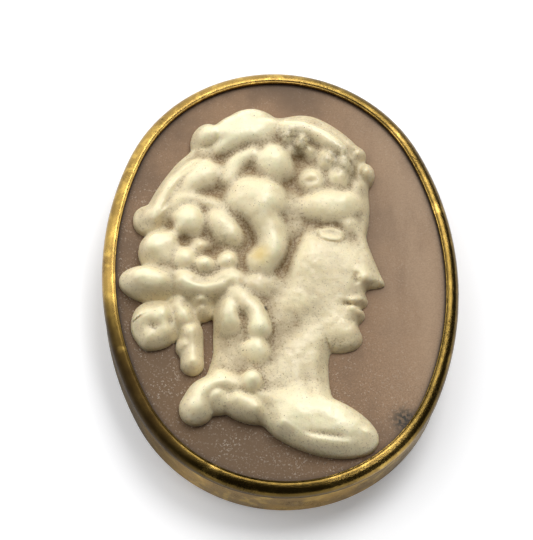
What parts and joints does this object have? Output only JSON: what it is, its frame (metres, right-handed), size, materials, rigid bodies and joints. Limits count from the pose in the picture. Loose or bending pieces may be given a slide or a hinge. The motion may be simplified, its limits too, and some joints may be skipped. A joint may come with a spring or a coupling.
{
  "type": "cameo brooch",
  "caption": "Oval cameo brooch: a cream classical bust in relief on a mauve plaque, in a rounded gilt brass frame with a pin behind.",
  "frame": {"origin": "middle of the oval, at the height of the back edge that the brooch rests on", "axes": "+Z out of the front of the cameo, +Y along the long axis towards the crown of the head, +X the way the profile faces"},
  "size_m": [0.039, 0.05, 0.0104],
  "materials": {
    "gilt_band": "polished",
    "gilt_case": "satin",
    "mauve_ground": "matte",
    "cream_relief": "satin",
    "pin_brass": "satin"
  },
  "bodies": {
    "root": {"bezel": "gilt_band", "case": "gilt_case", "cameo_ground": "mauve_ground", "cameo_relief": "cream_relief", "pin": "pin_brass"}
  },
  "joints": []
}
